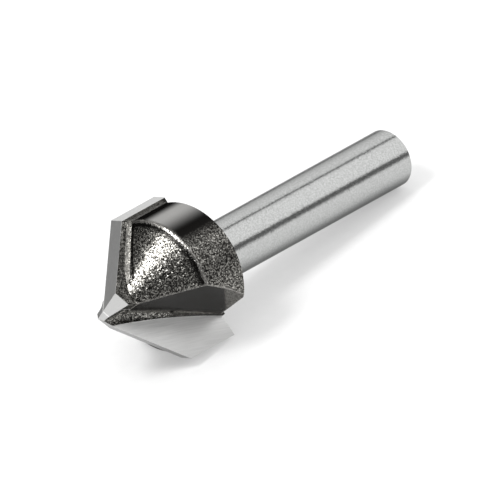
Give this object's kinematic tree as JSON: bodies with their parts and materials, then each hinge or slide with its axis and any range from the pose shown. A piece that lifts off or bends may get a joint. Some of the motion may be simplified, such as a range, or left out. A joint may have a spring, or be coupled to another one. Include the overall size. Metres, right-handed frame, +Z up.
{
  "type": "v groove router bit",
  "caption": "V groove router bit: plain round shank, blackened conical head with two chip gullets, and two brazed carbide plates ground to a 90 degree point.",
  "frame": {"origin": "bottom centre of the bounding box, on the table that the bit lies on", "axes": "+Z up; +X is level below the tool's axis, from the cutting tip towards the shank's end; +Y completes the frame. The tool's axis falls 7.4 degrees from the tip to the shank's end, in the plane Y = 0."},
  "size_m": [0.0452, 0.014, 0.0146],
  "materials": {
    "steel_body": "bright ground shank, grit-blasted and blackened head",
    "carbide": "fine ground carbide, black as brazed on the unground back",
    "braze": "blackened braze"
  },
  "bodies": {
    "root": {"steel_body": "steel_body", "carbide_plate_a": "carbide", "carbide_plate_b": "carbide", "braze_seam_a": "braze", "braze_seam_b": "braze"}
  },
  "joints": []
}
